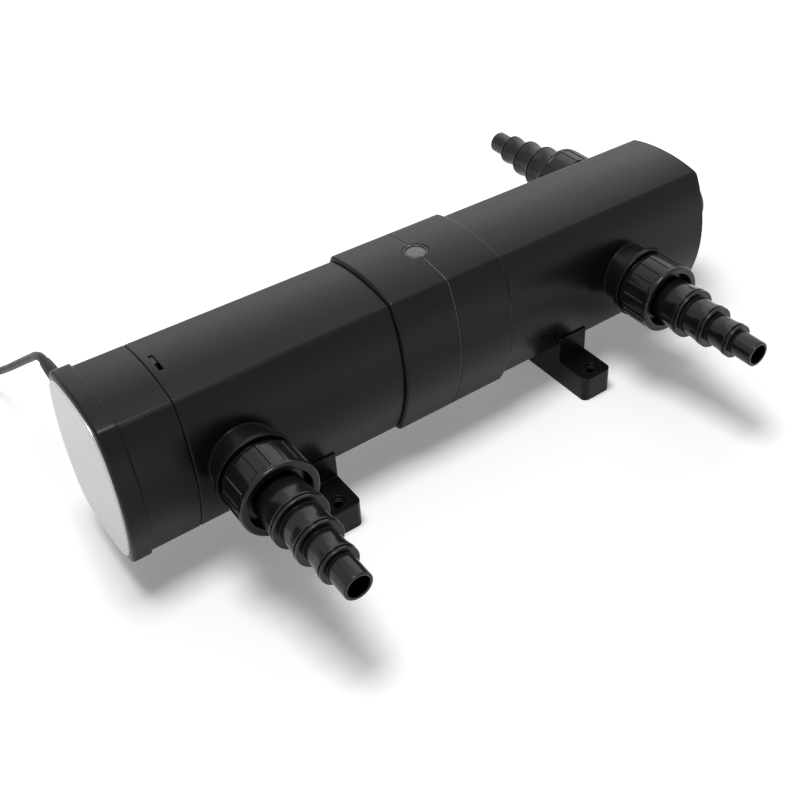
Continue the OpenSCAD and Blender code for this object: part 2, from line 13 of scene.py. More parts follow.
import bmesh
import bpy
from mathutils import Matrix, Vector


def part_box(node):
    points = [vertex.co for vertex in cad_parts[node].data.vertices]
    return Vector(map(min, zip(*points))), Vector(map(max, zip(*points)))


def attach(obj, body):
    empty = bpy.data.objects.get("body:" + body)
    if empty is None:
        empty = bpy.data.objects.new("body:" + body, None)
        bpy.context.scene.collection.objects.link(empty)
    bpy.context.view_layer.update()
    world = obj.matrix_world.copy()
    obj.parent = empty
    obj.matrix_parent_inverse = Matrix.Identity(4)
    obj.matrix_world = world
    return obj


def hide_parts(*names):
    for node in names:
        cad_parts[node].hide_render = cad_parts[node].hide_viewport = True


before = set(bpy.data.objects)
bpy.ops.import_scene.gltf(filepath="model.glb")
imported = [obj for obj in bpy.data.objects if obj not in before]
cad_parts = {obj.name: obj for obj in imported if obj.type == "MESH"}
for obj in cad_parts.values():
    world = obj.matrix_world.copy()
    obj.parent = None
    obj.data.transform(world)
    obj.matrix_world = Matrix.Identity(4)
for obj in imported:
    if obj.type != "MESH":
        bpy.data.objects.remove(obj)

LOG = logging.getLogger("uv_clarifier")
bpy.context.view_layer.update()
MM = 0.001
JOIN_WITHIN = 0.001 * MM
FILLET_SHARE = 0.45
BAR_STEPS = 6
FLAT_FACE_WEIGHT = 100
WHITE = (1.0, 1.0, 1.0, 1.0)

Colour = tuple[float, float, float]
Point = tuple[float, float, float]
Pair = tuple[float, float]


# ---- shader maths -------------------------------------------------------------------------------


class Wire:
    """An output socket of a shader graph, on which Python's operators add Math nodes."""

    def __init__(self, graph: "Graph", socket: bpy.types.NodeSocket) -> None:
        """Wraps a socket.

        Args:
            graph: The graph that the socket belongs to.
            socket: The output socket.
        """
        self.graph = graph
        self.socket = socket

    def _math(self, operation: str, first: "Wire | float", second: "Wire | float") -> "Wire":
        """Adds one Math node and returns its value."""
        return self.graph.node("ShaderNodeMath", {"operation": operation}, {0: first, 1: second})

    def __add__(self, other: "Wire | float") -> "Wire":
        """self + other."""
        return self._math("ADD", self, other)

    __radd__ = __add__

    def __sub__(self, other: "Wire | float") -> "Wire":
        """self - other."""
        return self._math("SUBTRACT", self, other)

    def __rsub__(self, other: "Wire | float") -> "Wire":
        """other - self."""
        return self._math("SUBTRACT", other, self)

    def __mul__(self, other: "Wire | float") -> "Wire":
        """self * other."""
        return self._math("MULTIPLY", self, other)

    __rmul__ = __mul__

    def __truediv__(self, other: "Wire | float") -> "Wire":
        """self / other."""
        return self._math("DIVIDE", self, other)

    def clamped(self) -> "Wire":
        """The value held between 0 and 1."""
        return self._math("MINIMUM", self._math("MAXIMUM", self, 0.0), 1.0)

    def over(self, low: float, high: float) -> "Wire":
        """Rises from 0 at low to 1 at high."""
        return ((self - low) / (high - low)).clamped()

    def swing(self, width: float) -> "Wire":
        """A value from 0 to 1 as a swing of this width about 0."""
        return (self - 0.5) * width


class Graph:
    """The node tree of a material or of the world.

    The Mix node has sockets of the same name for numbers, vectors and colours, so its colour
    sockets go by number.
    """

    MIX_SHARE, MIX_FIRST, MIX_SECOND, MIX_COLOUR_OUT = 0, 6, 7, 2
    BEVEL_SAMPLES = 6
    EDGE_BEND = (0.01, 0.16)

    def __init__(self, owner: bpy.types.Material | bpy.types.World) -> None:
        """Empties the tree.

        Args:
            owner: The material or world that the tree belongs to.
        """
        owner.use_nodes = True
        self.owner = owner
        self.tree = owner.node_tree
        self.tree.nodes.clear()

    @classmethod
    def of_material(cls, name: str) -> "Graph":
        """The empty tree of a new material of this name."""
        return cls(bpy.data.materials.new(name))

    def node(self, kind: str, settings: dict[str, Any] | None = None,
             values: dict[str | int, Any] | None = None, output: str | int = 0) -> Wire:
        """Adds a node of any kind.

        Args:
            kind: The node's type.
            settings: The node's attributes, which are set before its sockets.
            values: The values, or the wires, of the input sockets, by name or number.
            output: The output socket that is returned.

        Returns:
            The chosen output.
        """
        made = self.tree.nodes.new(kind)
        for key, value in (settings or {}).items():
            setattr(made, key, value)
        for key, value in (values or {}).items():
            if isinstance(value, Wire):
                self.tree.links.new(value.socket, made.inputs[key])
            else:
                made.inputs[key].default_value = value
        return Wire(self, made.outputs[output])

    def place(self) -> Wire:
        """The point on the object, in metres in its own frame."""
        return self.node("ShaderNodeTexCoord", output="Object")

    def stretched(self, scale: Point) -> Wire:
        """The point on the object, with each axis multiplied by its scale."""
        return self.node("ShaderNodeVectorMath", {"operation": "MULTIPLY"}, {0: self.place(), 1: scale})

    def noise(self, size: float, detail: float = 2.0, where: Wire | None = None) -> Wire:
        """Soft noise from 0 to 1.

        Args:
            size: The size of one blotch in metres.
            detail: How many finer layers it has.
            where: The point that it is read at, the object's own point if left out.

        Returns:
            The noise's value.
        """
        values = {"Vector": where or self.place(), "Scale": 1.0 / size, "Detail": detail}
        return self.node("ShaderNodeTexNoise", None, values)

    def blend(self, share: Wire | float, first: Wire | Colour, second: Wire | Colour) -> Wire:
        """Mixes two colours.

        Args:
            share: The second colour's share, from 0 to 1.
            first: The first colour, or its wire.
            second: The second colour, or its wire.

        Returns:
            The colour between them.
        """
        colours = [c if isinstance(c, Wire) else (*c, 1.0) for c in (first, second)]
        values = {self.MIX_SHARE: share, self.MIX_FIRST: colours[0], self.MIX_SECOND: colours[1]}
        return self.node("ShaderNodeMix", {"data_type": "RGBA"}, values, self.MIX_COLOUR_OUT)

    def rounded_normal(self, radius: float) -> Wire:
        """The surface's normal, turned near edges as if they had this radius."""
        return self.node("ShaderNodeBevel", {"samples": self.BEVEL_SAMPLES}, {"Radius": radius})

    def edge_mask(self, radius: float) -> Wire:
        """Finds edges.

        Args:
            radius: How far from an edge the mask reaches, in metres.

        Returns:
            1 on edges that are sharper than the radius, 0 on open faces.
        """
        plain = self.node("ShaderNodeNewGeometry", output="Normal")
        turned = self.rounded_normal(radius)
        same = self.node("ShaderNodeVectorMath", {"operation": "DOT_PRODUCT"}, {0: plain, 1: turned}, "Value")
        return (1.0 - same).over(*self.EDGE_BEND)

    def bump(self, height: Wire, depth: float, strength: float, normal: Wire | None = None) -> Wire:
        """A normal that follows a height.

        Args:
            height: The height from 0 to 1.
            depth: The height of 1 in metres.
            strength: The share of it that is used.
            normal: The normal that it is added to.

        Returns:
            The bent normal.
        """
        values: dict[str | int, Any] = {"Strength": strength, "Distance": depth, "Height": height}
        if normal is not None:
            values["Normal"] = normal
        return self.node("ShaderNodeBump", None, values)

    def finish(self, values: dict[str | int, Any]) -> bpy.types.Material:
        """Ends the graph in a Principled shader.

        Args:
            values: The shader's sockets.

        Returns:
            The finished material.
        """
        self.end_in(self.node("ShaderNodeBsdfPrincipled", None, values))
        return self.owner

    def background_rays(self) -> Wire:
        """Finds the rays that see the white background.

        Returns:
            1 for a ray from the camera, off a glossy surface or through glass, 0 for other light.
        """
        rays = [self.node("ShaderNodeLightPath", output=f"Is {ray} Ray")
                for ray in ("Camera", "Glossy", "Transmission")]
        return (rays[0] + rays[1] + rays[2]).clamped()

    def end_in(self, shader: Wire) -> None:
        """Joins a shader to the output of the material or world.

        Args:
            shader: The last shader of the tree.
        """
        kind = "World" if isinstance(self.owner, bpy.types.World) else "Material"
        made = self.tree.nodes.new(f"ShaderNodeOutput{kind}")
        self.tree.links.new(shader.socket, made.inputs["Surface"])


# ---- finishes -----------------------------------------------------------------------------------


def toned(colour: Colour, gain: float, lift: float = 0.0) -> Colour:
    """The colour with each channel multiplied by the gain and then raised by the lift."""
    return tuple(gain * channel + lift for channel in colour)


@dataclass(frozen=True)
class MouldedPlastic:
    """Moulded plastic with a fine grain, faint flow marks, handling scuffs and softened edges."""

    name: str
    colour: Colour
    roughness: float
    grain: float = 0.45 * MM
    grain_depth: float = 0.02 * MM
    edge: float = 0.5 * MM
    wear: float = 0.35
    scuffs: float = 0.05
    waviness: float = 0.35 * MM
    specular: float = 0.15
    ior: float = 1.5
    flow_size: float = 38 * MM
    flow_stretch: Point = (0.35, 1.0, 1.0)
    flow_band: Pair = (0.3, 0.7)
    flow_shade: float = 0.82
    flow_gloss: float = 0.05
    blotch_size: float = 7 * MM
    blotch_gloss: float = 0.06
    scratch_size: float = 1.6 * MM
    scratch_stretch: Point = (0.06, 1.0, 1.0)
    scratch_band: Pair = (0.62, 0.72)
    rubbed_size: float = 24 * MM
    rubbed_band: Pair = (0.48, 0.66)
    chip_size: float = 5 * MM
    chip_band: Pair = (0.35, 0.6)
    worn_reach: float = 2.2
    worn_tone: Pair = (1.8, 0.006)
    worn_gloss: float = 0.08
    wave_size: float = 42 * MM
    coarse_grain: float = 4.0
    coarse_share: float = 0.6
    grain_strength: float = 0.5

    def material(self) -> bpy.types.Material:
        """Builds the material.

        Returns:
            The finished material.
        """
        g = Graph.of_material(self.name)
        flow = g.noise(self.flow_size, 3.0, g.stretched(self.flow_stretch))
        blotch = g.noise(self.blotch_size, 2.0)
        scratch = g.noise(self.scratch_size, 4.0, g.stretched(self.scratch_stretch)).over(*self.scratch_band)
        rubbed = g.noise(self.rubbed_size, 2.0).over(*self.rubbed_band)
        edges = g.edge_mask(self.worn_reach * self.edge)
        worn = (edges * g.noise(self.chip_size, 3.0).over(*self.chip_band) * self.wear).clamped()
        tone = g.blend(flow.over(*self.flow_band), toned(self.colour, self.flow_shade), self.colour)
        tone = g.blend(worn, tone, toned(self.colour, *self.worn_tone))
        rough = self.roughness + blotch.swing(self.blotch_gloss) + flow.swing(self.flow_gloss)
        rough = rough + scratch * rubbed * self.scuffs - worn * self.worn_gloss
        soft = g.rounded_normal(self.edge)
        waves = g.bump(g.noise(self.wave_size, 1.0), self.waviness, 1.0, soft)
        grain = g.noise(self.grain, 2.0) + g.noise(self.coarse_grain * self.grain, 1.0) * self.coarse_share
        normal = g.bump(grain, self.grain_depth, self.grain_strength, waves)
        return g.finish({"Base Color": tone, "Roughness": rough, "Normal": normal, "IOR": self.ior,
                         "Specular IOR Level": self.specular})


@dataclass(frozen=True)
class SatinPlate:
    """Thin plate with a satin metallic face, lightly brushed, and softened edges."""

    name: str
    colour: Colour
    roughness: float
    metallic: float
    brush_size: float = 0.5 * MM
    brush_stretch: Point = (1.0, 0.04, 1.0)
    brush_depth: float = 0.004 * MM
    brush_strength: float = 0.4
    brush_gloss: float = 0.10
    cloud_size: float = 30 * MM
    cloud_band: Pair = (0.3, 0.7)
    cloud_shade: float = 0.95
    cloud_gloss: float = 0.06
    coat: float = 0.25
    coat_roughness: float = 0.12

    def material(self) -> bpy.types.Material:
        """Builds the material.

        Returns:
            The finished material.
        """
        g = Graph.of_material(self.name)
        brushed = g.noise(self.brush_size, 3.0, g.stretched(self.brush_stretch))
        cloud = g.noise(self.cloud_size, 2.0)
        tone = g.blend(cloud.over(*self.cloud_band), toned(self.colour, self.cloud_shade), self.colour)
        rough = self.roughness + brushed.swing(self.brush_gloss) + cloud.swing(self.cloud_gloss)
        normal = g.bump(brushed, self.brush_depth, self.brush_strength)
        return g.finish({"Base Color": tone, "Roughness": rough, "Normal": normal,
                         "Metallic": self.metallic, "Coat Weight": self.coat,
                         "Coat Roughness": self.coat_roughness})


@dataclass(frozen=True)
class Rubber:
    """Soft rubber or cord sheath with a dull, slightly dusty skin."""

    name: str
    colour: Colour
    roughness: float = 0.55
    specular: float = 0.2
    dust_size: float = 9 * MM
    dust_band: Pair = (0.5, 0.72)
    dust_tone: Pair = (0.7, 0.02)
    dust_share: float = 0.35
    dust_gloss: float = 0.12
    mottle_size: float = 3 * MM
    mottle_gloss: float = 0.08
    skin_size: float = 0.3 * MM
    skin_depth: float = 0.03 * MM
    skin_strength: float = 0.4
    edge: float = 0.4 * MM

    def material(self) -> bpy.types.Material:
        """Builds the material.

        Returns:
            The finished material.
        """
        g = Graph.of_material(self.name)
        dust = g.noise(self.dust_size, 4.0).over(*self.dust_band)
        tone = g.blend(dust * self.dust_share, self.colour, toned(self.colour, *self.dust_tone))
        mottle = g.noise(self.mottle_size)
        rough = self.roughness + dust * self.dust_gloss + mottle.swing(self.mottle_gloss)
        skin = g.noise(self.skin_size, 2.0)
        normal = g.bump(skin, self.skin_depth, self.skin_strength, g.rounded_normal(self.edge))
        return g.finish({"Base Color": tone, "Roughness": rough, "Normal": normal,
                         "Specular IOR Level": self.specular})


@dataclass(frozen=True)
class Metal:
    """Drawn or pressed metal with fine lines along one axis."""

    name: str
    colour: Colour
    roughness: float = 0.3
    line_size: float = 0.35 * MM
    line_stretch: Point = (1.0, 0.08, 1.0)
    line_depth: float = 0.01 * MM
    line_strength: float = 0.4
    line_gloss: float = 0.15
    stain_size: float = 6 * MM
    stain_band: Pair = (0.45, 0.75)
    stain_shade: float = 0.72
    stain_gloss: float = 0.12
    edge: float = 0.25 * MM

    def material(self) -> bpy.types.Material:
        """Builds the material.

        Returns:
            The finished material.
        """
        g = Graph.of_material(self.name)
        lines = g.noise(self.line_size, 2.0, g.stretched(self.line_stretch))
        stain = g.noise(self.stain_size, 3.0).over(*self.stain_band)
        tone = g.blend(stain, self.colour, toned(self.colour, self.stain_shade))
        rough = self.roughness + lines.swing(self.line_gloss) + stain * self.stain_gloss
        normal = g.bump(lines, self.line_depth, self.line_strength, g.rounded_normal(self.edge))
        return g.finish({"Base Color": tone, "Roughness": rough, "Normal": normal, "Metallic": 1.0})


@dataclass(frozen=True)
class ClearGlass:
    """Clear glass or a smoked window, with faint marks from handling."""

    name: str
    colour: Colour
    clearness: float
    roughness: float = 0.04
    ior: float = 1.46
    mark_size: float = 12 * MM
    mark_band: Pair = (0.5, 0.75)
    mark_share: float = 0.3
    mark_shade: float = 0.85
    mark_gloss: float = 0.06

    def material(self) -> bpy.types.Material:
        """Builds the material.

        Returns:
            The finished material.
        """
        g = Graph.of_material(self.name)
        marks = g.noise(self.mark_size, 4.0).over(*self.mark_band)
        tone = g.blend(marks * self.mark_share, self.colour, toned(self.colour, self.mark_shade))
        rough = self.roughness + marks * self.mark_gloss
        return g.finish({"Base Color": tone, "Roughness": rough, "IOR": self.ior,
                         "Transmission Weight": self.clearness})


DRESSED: dict[str, bpy.types.Material] = {}


class Finish(Enum):
    """The finishes of the clarifier, one for each kind of material on it."""

    TANK_BLACK = MouldedPlastic("tank_black", (0.0062, 0.0062, 0.0067), 0.28, edge=1.3 * MM)
    FITTING_BLACK = MouldedPlastic("fitting_black", (0.0075, 0.0076, 0.008), 0.19, grain_depth=0.012 * MM,
                                   edge=0.15 * MM, wear=0.25, specular=0.27)
    COLLAR_BLACK = MouldedPlastic("collar_black", (0.0062, 0.0062, 0.0067), 0.28, edge=0.2 * MM)
    LUG_GREY = MouldedPlastic("lug_grey", (0.05, 0.05, 0.052), 0.4)
    WHITE_PLASTIC = MouldedPlastic("plastic_white", (0.78, 0.78, 0.75), 0.4, wear=0.0)
    NATURAL_PLASTIC = MouldedPlastic("plastic_natural", (0.58, 0.58, 0.55), 0.42, wear=0.0)
    LABEL_SILVER = SatinPlate("plate_satin", (0.52, 0.53, 0.55), 0.34, 0.45)
    LENS_GREY = MouldedPlastic("lens_smoked", (0.13, 0.135, 0.14), 0.3, grain_depth=0.004 * MM, wear=0.0)
    SEAL_RUBBER = Rubber("rubber_seal", (0.014, 0.014, 0.014))
    GASKET_GREY = Rubber("gasket_soft", (0.17, 0.17, 0.175), 0.5)
    SILICONE = Rubber("silicone_red", (0.42, 0.10, 0.07), 0.5)
    CORD_RUBBER = Rubber("cord_sheath", (0.012, 0.012, 0.0125), 0.48)
    STEEL = Metal("screw_steel", (0.58, 0.58, 0.59))
    BRASS = Metal("contact_brass", (0.72, 0.56, 0.28))
    QUARTZ = ClearGlass("quartz_clear", (0.95, 0.97, 0.98), 1.0)
    LAMP_GLASS = ClearGlass("tube_glass", (0.96, 0.97, 0.98), 0.9, 0.06)

    def on(self, piece: bpy.types.Object) -> bpy.types.Object:
        """Gives a piece this finish.

        Args:
            piece: The object that gets it, in place of what it had.

        Returns:
            The same object.
        """
        if self.name not in DRESSED:
            DRESSED[self.name] = self.value.material()
        piece.data.materials.clear()
        piece.data.materials.append(DRESSED[self.name])
        return piece


# ---- shapes -------------------------------------------------------------------------------------


def rounded_profile(corners: Sequence[tuple[float, float, float]], segments: int = 4) -> list[Pair]:
    """Rounds the corners of an open outline.

    Args:
        corners: Radius, distance along the axis and fillet radius of each corner.
        segments: The steps of each fillet.

    Returns:
        The outline's points, as radius and distance.
    """
    points: list[Pair] = []
    for i, (r, d, fillet) in enumerate(corners):
        here = Vector((r, d))
        if fillet <= 0 or i in (0, len(corners) - 1):
            points.append((r, d))
            continue
        before = Vector(corners[i - 1][:2]) - here
        after = Vector(corners[i + 1][:2]) - here
        reach = min(fillet, FILLET_SHARE * before.length, FILLET_SHARE * after.length)
        start, end = here + before.normalized() * reach, here + after.normalized() * reach
        for k in range(segments + 1):
            t = k / segments
            p = (1 - t) ** 2 * start + 2 * t * (1 - t) * here + t * t * end
            points.append((p.x, p.y))
    return points


def quarter_turn(steps: int) -> list[float]:
    """The angles of a rounding of this many steps, from 0 to a right angle."""
    return [math.pi / 2 * k / steps for k in range(steps + 1)]


def mesh_piece(name: str, vertices: Sequence[Point], faces: Sequence[Sequence[int]],
               sharp: float = 35.0) -> bpy.types.Object:
    """Makes a smooth-shaded mesh object with sharp edges kept.

    Args:
        name: The object's name.
        vertices: The points in the row frame.
        faces: The corners of each face.
        sharp: The angle in degrees past which an edge is shaded sharp.

    Returns:
        The object, linked to the scene.
    """
    mesh = bpy.data.meshes.new(name)
    mesh.from_pydata([tuple(v) for v in vertices], [], [tuple(f) for f in faces])
    weld(mesh)
    mesh.validate()
    mesh.update()
    piece = bpy.data.objects.new(name, mesh)
    bpy.context.scene.collection.objects.link(piece)
    smooth(piece, sharp)
    return piece


def weld(mesh: bpy.types.Mesh) -> None:
    """Joins points that coincide, and drops faces without area.

    Args:
        mesh: The mesh that is cleaned.
    """
    shape = bmesh.new()
    shape.from_mesh(mesh)
    bmesh.ops.remove_doubles(shape, verts=shape.verts, dist=JOIN_WITHIN)
    bmesh.ops.dissolve_degenerate(shape, edges=shape.edges, dist=JOIN_WITHIN)
    shape.to_mesh(mesh)
    shape.free()


def smooth(piece: bpy.types.Object, sharp: float = 35.0) -> None:
    """Shades a mesh smooth, with its large faces kept flat beside small roundings.

    Args:
        piece: The mesh object.
        sharp: The angle in degrees past which an edge is shaded sharp.
    """
    mesh = piece.data
    mesh.polygons.foreach_set("use_smooth", [True] * len(mesh.polygons))
    mesh.set_sharp_from_angle(angle=math.radians(sharp))
    if "weighted" not in piece.modifiers:
        weighted = piece.modifiers.new("weighted", "WEIGHTED_NORMAL")
        weighted.weight, weighted.keep_sharp = FLAT_FACE_WEIGHT, True


def cut_away(piece: bpy.types.Object, cutter: bpy.types.Object) -> None:
    """Cuts one closed mesh out of another, and removes the cutter.

    Args:
        piece: The mesh that is cut.
        cutter: The mesh that cuts it.
    """
    piece.modifiers.clear()
    cut = piece.modifiers.new("cut", "BOOLEAN")
    cut.operation, cut.object, cut.solver = "DIFFERENCE", cutter, "EXACT"
    bpy.context.view_layer.update()
    result = bpy.data.meshes.new_from_object(piece.evaluated_get(bpy.context.evaluated_depsgraph_get()))
    piece.modifiers.clear()
    weld(result)
    piece.data = result
    bpy.data.objects.remove(cutter)
    smooth(piece)


@dataclass(frozen=True)
class Axis:
    """A line that round pieces are turned about."""

    origin: Vector
    along: Vector

    def point(self, radius: float, distance: float, angle: float) -> Vector:
        """A point about the axis.

        Args:
            radius: How far from the axis it lies.
            distance: How far along the axis it lies.
            angle: Its angle about the axis in radians, from straight up where the axis is level.

        Returns:
            The point.
        """
        first = self.along.orthogonal().normalized()
        if abs(self.along.z) < 0.5:
            first = Vector((0, 0, 1))
        second = self.along.cross(first)
        turned = first * math.cos(angle) + second * math.sin(angle)
        return self.origin + self.along * distance + turned * radius


def round_curve(name: str, points: Sequence[tuple[Vector, float]]) -> bpy.types.Object:
    """Makes a round bar along a line.

    Args:
        name: The object's name.
        points: The points of the line, each with the bar's radius there.

    Returns:
        The curve object.
    """
    curve = bpy.data.curves.new(name, "CURVE")
    curve.dimensions = "3D"
    thickest = max(radius for _, radius in points)
    curve.bevel_depth, curve.bevel_resolution = thickest, BAR_STEPS
    curve.use_fill_caps = True
    spline = curve.splines.new("POLY")
    spline.points.add(len(points) - 1)
    spline.use_smooth = True
    for knot, (place, radius) in zip(spline.points, points):
        knot.co = (*place, 1.0)
        knot.radius = radius / thickest
    piece = bpy.data.objects.new(name, curve)
    bpy.context.scene.collection.objects.link(piece)
    return piece


def lathe(name: str, axis: Axis, profile: Sequence[Pair], angles: Sequence[float] | int = 96,
          relief: Callable[[float, float, float], float] | None = None) -> bpy.types.Object:
    """Turns an outline about an axis.

    Args:
        name: The object's name.
        axis: The axis.
        profile: Radius and distance of each point of the outline.
        angles: The angles of the rings, or how many even ones.
        relief: A function of angle, distance and radius that gives the radius to use there.

    Returns:
        The object.
    """
    turns = [2 * math.pi * k / angles for k in range(angles)] if isinstance(angles, int) else list(angles)
    count, rings = len(profile), len(turns)
    vertices = []
    for angle in turns:
        for radius, distance in profile:
            used = relief(angle, distance, radius) if relief else radius
            vertices.append(axis.point(used, distance, angle))
    faces = []
    for i in range(rings):
        j = (i + 1) % rings
        for k in range(count - 1):
            faces.append((i * count + k, j * count + k, j * count + k + 1, i * count + k + 1))
    return mesh_piece(name, vertices, faces)


@dataclass(frozen=True)
class Section:
    """The outline of the tank: four bulged walls that meet in creases."""

    half_w: float = 51 * MM
    half_h: float = 59.5 * MM
    side_bulge: float = 13.7 * MM
    top_bulge: float = 4.8 * MM
    wall_steps: int = 28
    crease_steps: int = 8

    @staticmethod
    def _radius(chord: float, bulge: float) -> float:
        """The radius of a wall, from half its chord and its bulge."""
        return (chord * chord + bulge * bulge) / (2 * bulge)

    def loop(self, off: float, corner: float) -> list[Pair]:
        """The outline grown by off, with its creases rounded.

        Args:
            off: How far outside the tank's wall it lies.
            corner: The radius of its four corners.

        Returns:
            Points as y and z about the tank's axis, once round.
        """
        side_r = self._radius(self.half_h - self.top_bulge, self.side_bulge)
        top_r = self._radius(self.half_w - self.side_bulge, self.top_bulge)
        side_c, top_c = self.half_w - side_r, self.half_h - top_r
        a, b = side_r + off - corner, top_r + off - corner
        gap = math.hypot(side_c, top_c)
        share = math.acos((b * b + gap * gap - a * a) / (2 * b * gap))
        base = math.atan2(-top_c, side_c)
        turns = [base + share, base - share]
        best = max(((b * math.cos(t), top_c + b * math.sin(t)) for t in turns), key=sum)
        side_end = math.atan2(best[1], best[0] - side_c)
        top_start = math.atan2(best[1] - top_c, best[0])
        quarter: list[Pair] = []
        for k in range(self.wall_steps + 1):
            t = side_end * k / self.wall_steps
            quarter.append((side_c + (side_r + off) * math.cos(t), (side_r + off) * math.sin(t)))
        for k in range(1, self.crease_steps):
            t = side_end + (top_start - side_end) * k / self.crease_steps
            quarter.append((best[0] + corner * math.cos(t), best[1] + corner * math.sin(t)))
        for k in range(self.wall_steps + 1):
            t = top_start + (math.pi / 2 - top_start) * k / self.wall_steps
            quarter.append(((top_r + off) * math.cos(t), top_c + (top_r + off) * math.sin(t)))
        second = [(-y, z) for y, z in reversed(quarter[:-1])]
        third = [(-y, -z) for y, z in quarter[1:]]
        fourth = [(y, -z) for y, z in reversed(quarter[1:-1])]
        return quarter + second + third + fourth


def loft(name: str, rings: Sequence[tuple[float, Sequence[Pair]]], centre: Vector,
         capped: bool = True) -> bpy.types.Object:
    """Joins outlines that stand across the tank.

    Args:
        name: The object's name.
        rings: The x of each outline and its points.
        centre: The point on the tank's axis at x = 0.
        capped: Whether the first and last outlines are filled, instead of joined to each other.

    Returns:
        The object.
    """
    count = len(rings[0][1])
    vertices = [centre + Vector((x, y, z)) for x, points in rings for y, z in points]
    faces: list[Sequence[int]] = []
    for i in range(len(rings) - (1 if capped else 0)):
        j = (i + 1) % len(rings)
        for k in range(count):
            m = (k + 1) % count
            faces.append((i * count + k, i * count + m, j * count + m, j * count + k))
    if capped:
        faces.append(tuple(reversed(range(count))))
        faces.append(tuple(range((len(rings) - 1) * count, len(rings) * count)))
    return mesh_piece(name, vertices, faces)


# ---- sub-assemblies -----------------------------------------------------------------------------


def node_centre(name: str) -> Vector:
    """The middle of a CAD node's box at rest."""
    low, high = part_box(name)
    return (Vector(low) + Vector(high)) / 2


def keep(name: str, finish: Finish) -> bpy.types.Object:
    """Keeps a CAD node's own shape and gives it a finish.

    Args:
        name: The node.
        finish: Its finish.

    Returns:
        The node's object.
    """
    piece = finish.on(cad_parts[name])
    LOG.info("%s keeps its shape, in %s", name, finish.value.name)
    return piece


def stand_for(piece: bpy.types.Object, body: str, slot: str, finish: Finish,
              *nodes: str) -> bpy.types.Object:
    """Puts a detailed piece in the place of CAD nodes.

    Args:
        piece: The new piece.
        body: The body that it rides on.
        slot: The name of a material slot; not used.
        finish: Its finish.
        *nodes: The CAD nodes that it stands for.

    Returns:
        The piece.
    """
    finish.on(piece)
    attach(piece, body)
    if nodes:
        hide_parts(*nodes)
    LOG.info("%s stands for %s, in %s", piece.name, ", ".join(nodes) or "no node", finish.value.name)
    return piece


class Side(Enum):
    """The side of the tank that a port is on."""

    FRONT = -1
    BACK = 1


